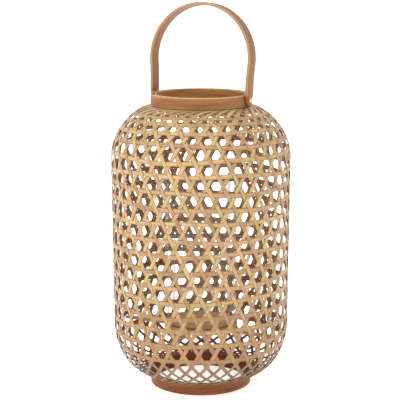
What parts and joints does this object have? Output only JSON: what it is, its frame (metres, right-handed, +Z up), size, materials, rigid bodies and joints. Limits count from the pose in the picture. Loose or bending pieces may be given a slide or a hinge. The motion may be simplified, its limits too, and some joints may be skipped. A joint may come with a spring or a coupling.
{
  "type": "woven bamboo lantern",
  "caption": "Jar-shaped lantern of open six-way woven bamboo between two wooden rings, with a swinging bent strip handle and a lift-out glass cylinder on a round tray.",
  "frame": {"origin": "on the floor at the lantern's axis, under the middle of the base ring", "axes": "+Z up along the lantern's axis; the handle's rivets lie along X and it rests leaning 4.3 degrees towards +Y"},
  "size_m": [0.2523, 0.2524, 0.5403],
  "materials": {
    "split_bamboo": "split bamboo skin, dry, satin",
    "bent_hoop_wood": "bent wooden strip, stained, satin",
    "handle_bamboo": "bent bamboo strip, sanded, satin",
    "tray_wood": "turned wooden disc, matt",
    "slat_bamboo": "split bamboo slat, raw",
    "rivet_brass": "dull brass",
    "nail_steel": "plain steel wire nail",
    "clear_glass": "clear glass, open both ends"
  },
  "bodies": {
    "root": {"base_ring_inner_hoop": "bent_hoop_wood", "base_ring_outer_hoop": "bent_hoop_wood", "candle_tray": "tray_wood", "glass_locating_disc": "tray_wood", "handle_rivets": "rivet_brass", "handle_washers": "rivet_brass", "left_leaning_strips": "split_bamboo", "lower_slat": "slat_bamboo", "right_leaning_strips": "split_bamboo", "top_ring_inner_hoop": "bent_hoop_wood", "top_ring_outer_hoop": "bent_hoop_wood", "tray_nails": "nail_steel", "upper_slat": "slat_bamboo", "weave_hoop_01": "split_bamboo", "weave_hoop_02": "split_bamboo", "weave_hoop_03": "split_bamboo", "weave_hoop_04": "split_bamboo", "weave_hoop_05": "split_bamboo", "weave_hoop_06": "split_bamboo", "weave_hoop_07": "split_bamboo", "weave_hoop_08": "split_bamboo", "weave_hoop_09": "split_bamboo", "weave_hoop_10": "split_bamboo", "weave_hoop_11": "split_bamboo", "weave_hoop_12": "split_bamboo", "weave_hoop_13": "split_bamboo", "weave_hoop_14": "split_bamboo", "weave_hoop_15": "split_bamboo", "weave_hoop_16": "split_bamboo", "weave_hoop_17": "split_bamboo", "weave_hoop_18": "split_bamboo"},
    "handle": {"handle": "handle_bamboo"},
    "glass": {"glass_cylinder": "clear_glass"}
  },
  "joints": [
    {"name": "handle_swing", "type": "hinge", "parent": "root", "child": "handle", "pos_m": [0, 0, 0.408], "axis": [1, 0, 0], "range_deg": [-70.7, 79.3]},
    {"name": "glass_lift", "type": "slide", "parent": "root", "child": "glass", "axis": [0, 0, 1], "range_m": [0, 0.19]}
  ]
}
